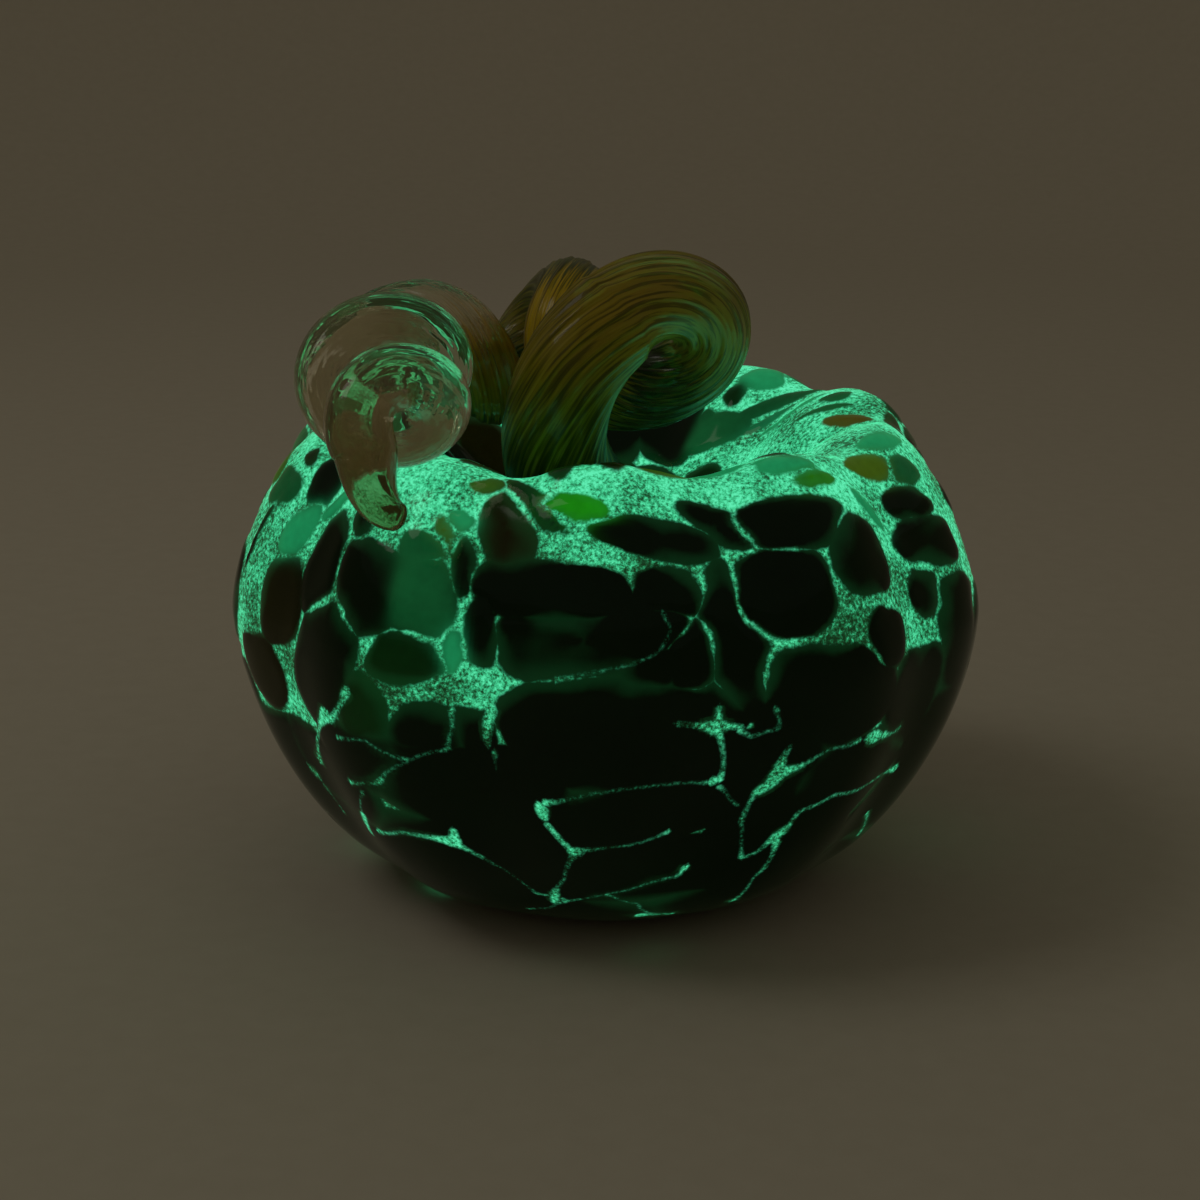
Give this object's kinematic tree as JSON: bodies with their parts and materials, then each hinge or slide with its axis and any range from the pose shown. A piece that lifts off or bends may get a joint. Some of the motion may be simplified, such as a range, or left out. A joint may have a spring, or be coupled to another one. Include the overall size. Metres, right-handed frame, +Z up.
{
  "type": "glass pumpkin",
  "caption": "Hand-blown ribbed glass pumpkin ornament with dark glass chips over a light-storing layer and a twisted corkscrew stem.",
  "frame": {"origin": "centre of the foot ring on the surface that the pumpkin stands on", "axes": "+Z up through the stem's root, -Y towards the viewer of the picture, +X to the viewer's right"},
  "size_m": [0.1124, 0.1149, 0.0964],
  "materials": {
    "clear_glass": "polished, fire-finished",
    "glow_glass": "glossy, light-storing powder in clear glass",
    "dark_glass": "glossy dark green to black",
    "cane_glass": "polished, fine twisted flutes",
    "amber_glass": "transparent olive to amber"
  },
  "bodies": {
    "root": {"bubble": "clear_glass", "glow_layer": "glow_glass", "dark_chip_01": "dark_glass", "dark_chip_02": "dark_glass", "dark_chip_03": "dark_glass", "dark_chip_04": "dark_glass", "dark_chip_05": "dark_glass", "dark_chip_06": "dark_glass", "dark_chip_07": "dark_glass", "dark_chip_08": "dark_glass", "dark_chip_09": "dark_glass", "dark_chip_10": "dark_glass", "dark_chip_11": "dark_glass", "dark_chip_12": "dark_glass", "dark_chip_13": "dark_glass", "dark_chip_14": "dark_glass", "dark_chip_15": "dark_glass", "dark_chip_16": "dark_glass", "dark_chip_17": "dark_glass", "dark_chip_18": "dark_glass", "dark_chip_19": "dark_glass", "dark_chip_20": "dark_glass", "dark_chip_21": "dark_glass", "dark_chip_22": "dark_glass", "dark_chip_23": "dark_glass", "dark_chip_24": "dark_glass", "dark_chip_25": "dark_glass", "dark_chip_26": "dark_glass", "dark_chip_27": "dark_glass", "dark_chip_28": "dark_glass", "dark_chip_29": "dark_glass", "dark_chip_30": "dark_glass", "dark_chip_31": "dark_glass", "dark_chip_32": "dark_glass", "dark_chip_33": "dark_glass", "dark_chip_34": "dark_glass", "dark_chip_35": "dark_glass", "dark_chip_36": "dark_glass", "dark_chip_37": "dark_glass", "dark_chip_38": "dark_glass", "dark_chip_39": "dark_glass", "dark_chip_40": "dark_glass", "dark_chip_41": "dark_glass", "dark_chip_42": "dark_glass", "dark_chip_43": "dark_glass", "dark_chip_44": "dark_glass", "dark_chip_45": "dark_glass", "dark_chip_46": "dark_glass", "dark_chip_47": "dark_glass", "dark_chip_48": "dark_glass", "stem_cane": "cane_glass", "stem_core": "amber_glass"}
  },
  "joints": []
}
